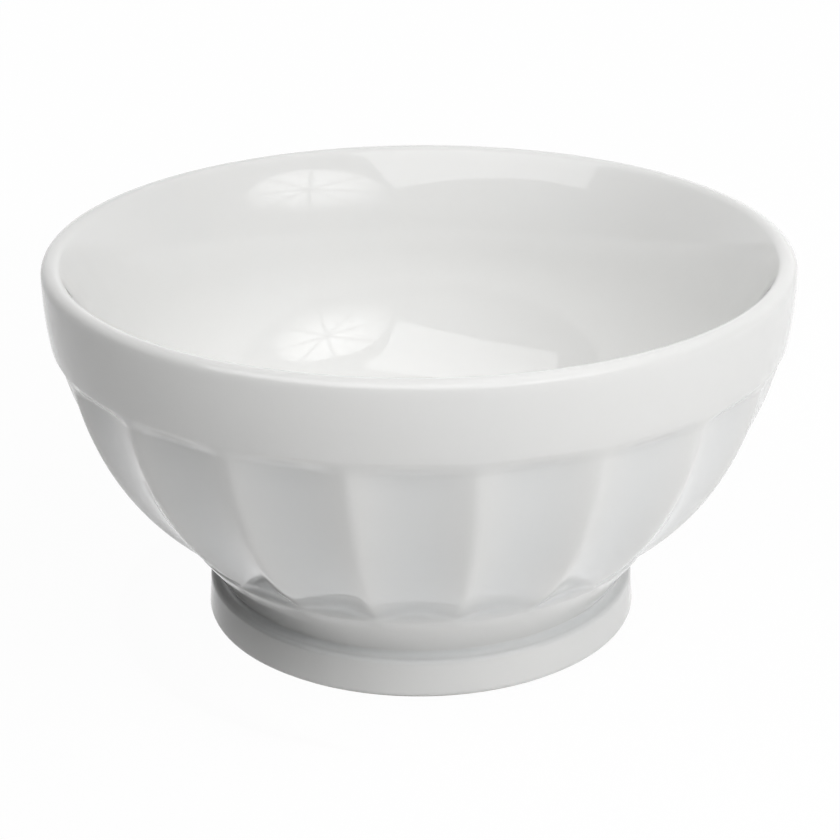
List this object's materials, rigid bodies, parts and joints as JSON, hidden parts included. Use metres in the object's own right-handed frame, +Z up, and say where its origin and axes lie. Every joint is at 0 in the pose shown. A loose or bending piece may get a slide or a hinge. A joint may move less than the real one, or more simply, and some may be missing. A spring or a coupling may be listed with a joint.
{
  "type": "footed latte bowl",
  "caption": "Round white porcelain bowl with a fluted wall, a plain band under a rounded lip and a moulded hollow foot, for milky coffee, soup or cereal.",
  "frame": {"origin": "centre of the standing rim, on the table", "axes": "+Z up along the bowl's axis; X and Y level, with the middle of a flute on -Y, the side that faces the camera"},
  "size_m": [0.1396, 0.1396, 0.0732],
  "materials": {
    "porcelain": "fired clay, under the glaze",
    "bare_porcelain": "matte, bare on the standing rim",
    "slip": "fired slip, under the glaze",
    "glaze": "glossy white"
  },
  "bodies": {
    "root": {"bowl_body": "porcelain", "foot_ring": "bare_porcelain", "luting_slip": "slip", "glaze_coat": "glaze", "underside_glaze": "glaze"}
  },
  "joints": []
}
